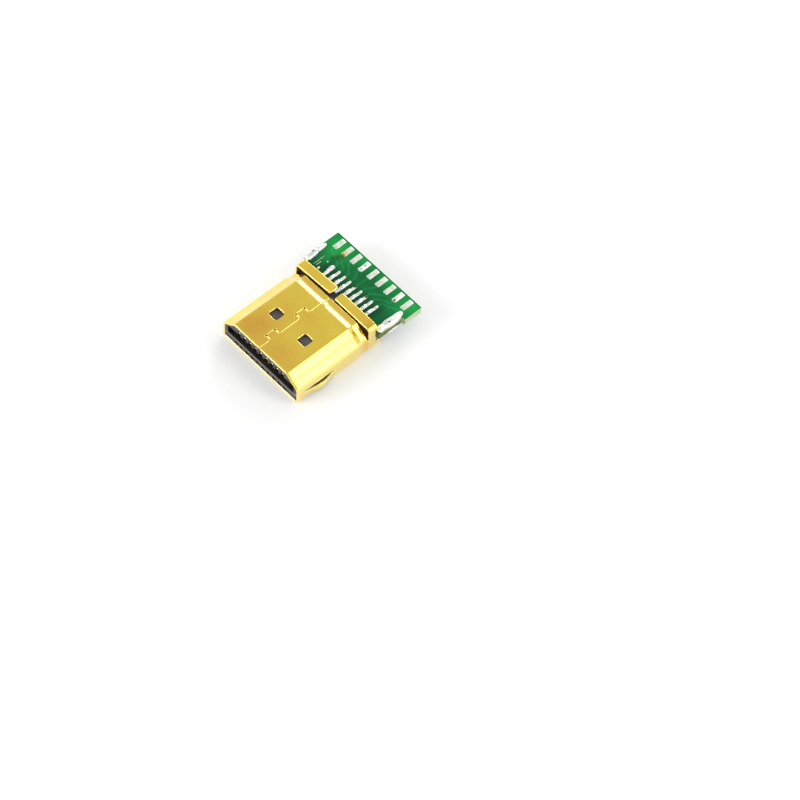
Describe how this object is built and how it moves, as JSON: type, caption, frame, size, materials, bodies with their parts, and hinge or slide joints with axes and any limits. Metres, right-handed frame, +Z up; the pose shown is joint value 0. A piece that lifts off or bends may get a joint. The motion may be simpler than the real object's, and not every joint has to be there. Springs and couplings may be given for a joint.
{
  "type": "digital video plug",
  "caption": "Unhoused digital video plug: folded gold shell, moulded insulator with contacts, and a small green wiring board soldered behind, with pads for a cable's wires.",
  "frame": {"origin": "bottom centre of the whole plug's box, on the plane that the wide side rests on", "axes": "+X to the right seen from the mouth's front, +Y from the mouth to the wire end, +Z up from the wide side to the narrow side"},
  "size_m": [0.0154, 0.02, 0.0049],
  "materials": {
    "gold_shell": "polished gold plate",
    "black_moulding": "moulded, slightly glossy",
    "green_board": "solder mask on glass laminate",
    "plated_pads": "tinned",
    "solder": "bright, flowed",
    "contact_metal": "plated, satin"
  },
  "bodies": {
    "root": {"shell": "gold_shell", "insulator": "black_moulding", "tail_block": "black_moulding", "board": "green_board", "wire_pads_top": "plated_pads", "wire_pads_bottom": "plated_pads", "tail_pads_top": "plated_pads", "tail_pads_bottom": "plated_pads", "tail_solder_top": "solder", "tail_solder_bottom": "solder", "shell_solder_top_left": "solder", "shell_solder_top_right": "solder", "shell_solder_bottom_left": "solder", "shell_solder_bottom_right": "solder", "upper_contact_1": "contact_metal", "upper_contact_2": "contact_metal", "upper_contact_3": "contact_metal", "upper_contact_4": "contact_metal", "upper_contact_5": "contact_metal", "upper_contact_6": "contact_metal", "upper_contact_7": "contact_metal", "upper_contact_8": "contact_metal", "upper_contact_9": "contact_metal", "lower_contact_1": "contact_metal", "lower_contact_2": "contact_metal", "lower_contact_3": "contact_metal", "lower_contact_4": "contact_metal", "lower_contact_5": "contact_metal", "lower_contact_6": "contact_metal", "lower_contact_7": "contact_metal", "lower_contact_8": "contact_metal", "lower_contact_9": "contact_metal", "lower_contact_10": "contact_metal"}
  },
  "joints": []
}
